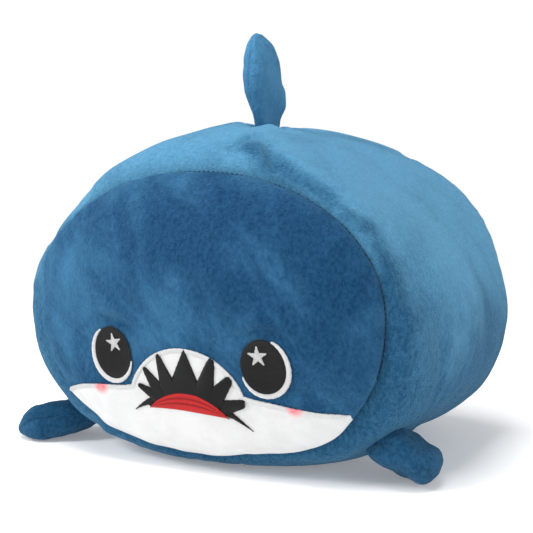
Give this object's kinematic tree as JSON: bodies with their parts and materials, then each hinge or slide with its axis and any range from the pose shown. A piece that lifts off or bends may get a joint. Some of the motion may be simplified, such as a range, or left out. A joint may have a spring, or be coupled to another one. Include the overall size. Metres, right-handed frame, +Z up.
{
  "type": "plush shark",
  "caption": "Stuffed fleece shark pillow: a plump roll lying on its belly, with an embroidered face, a top fin, side flippers and a tail fin that bend at their seams.",
  "frame": {"origin": "on the floor under the middle of the roll", "axes": "+Z up, the shark looks along -Y, +X is its own left side"},
  "size_m": [0.3546, 0.3448, 0.312],
  "materials": {
    "fleece_body": "matte",
    "fleece_face": "matte",
    "fleece_fin": "matte",
    "jaw_fabric": "matte",
    "white_satin_thread": "satin",
    "black_thread": "satin",
    "red_thread": "satin",
    "blue_thread": "satin",
    "fibre_fill": "matte",
    "label_satin": "satin"
  },
  "bodies": {
    "body": {"body_stuffing": "fibre_fill", "barrel_panel": "fleece_body", "face_panel": "fleece_face", "rear_panel": "fleece_body", "belly_seam_thread": "blue_thread", "face_seam_thread": "blue_thread", "rear_seam_thread": "blue_thread", "care_label": "label_satin", "jaw_panel": "jaw_fabric", "jaw_border_stitching": "white_satin_thread", "mouth_embroidery": "black_thread", "tongue_embroidery": "red_thread", "left_eye_white": "white_satin_thread", "left_eye_pupil": "black_thread", "left_eye_star": "white_satin_thread", "right_eye_white": "white_satin_thread", "right_eye_pupil": "black_thread", "right_eye_star": "white_satin_thread"},
    "dorsal_fin": {"dorsal_fin_left_panel": "fleece_fin", "dorsal_fin_right_panel": "fleece_fin", "dorsal_fin_stuffing": "fibre_fill", "dorsal_fin_seam_thread": "blue_thread", "dorsal_fin_root_thread": "blue_thread"},
    "left_flipper": {"left_flipper_top_panel": "fleece_fin", "left_flipper_bottom_panel": "fleece_fin", "left_flipper_stuffing": "fibre_fill", "left_flipper_seam_thread": "blue_thread", "left_flipper_root_thread": "blue_thread"},
    "right_flipper": {"right_flipper_top_panel": "fleece_fin", "right_flipper_bottom_panel": "fleece_fin", "right_flipper_stuffing": "fibre_fill", "right_flipper_seam_thread": "blue_thread", "right_flipper_root_thread": "blue_thread"},
    "tail_fin": {"tail_fin_left_panel": "fleece_fin", "tail_fin_right_panel": "fleece_fin", "tail_fin_stuffing": "fibre_fill", "tail_fin_seam_thread": "blue_thread", "tail_fin_root_thread": "blue_thread"}
  },
  "joints": [
    {"name": "dorsal_fin_flop", "type": "hinge", "parent": "body", "child": "dorsal_fin", "pos_m": [0, -0.006, 0.238], "axis": [0, 1, 0], "range_deg": [-55, 55], "stiffness_Nm_per_rad": 0.06},
    {"name": "left_flipper_lift", "type": "hinge", "parent": "body", "child": "left_flipper", "pos_m": [0.12416, -0.0541, 0.02332], "axis": [-0.809, -0.5878, 0], "range_deg": [-35, 25], "stiffness_Nm_per_rad": 0.04},
    {"name": "right_flipper_lift", "type": "hinge", "parent": "body", "child": "right_flipper", "pos_m": [-0.12449, -0.0538, 0.02332], "axis": [-0.6561, 0.7547, 0], "range_deg": [-35, 25], "stiffness_Nm_per_rad": 0.04},
    {"name": "tail_fin_swing", "type": "hinge", "parent": "body", "child": "tail_fin", "pos_m": [0, 0.135, 0.118], "axis": [0, 0, 1], "range_deg": [-40, 40], "stiffness_Nm_per_rad": 0.08}
  ]
}
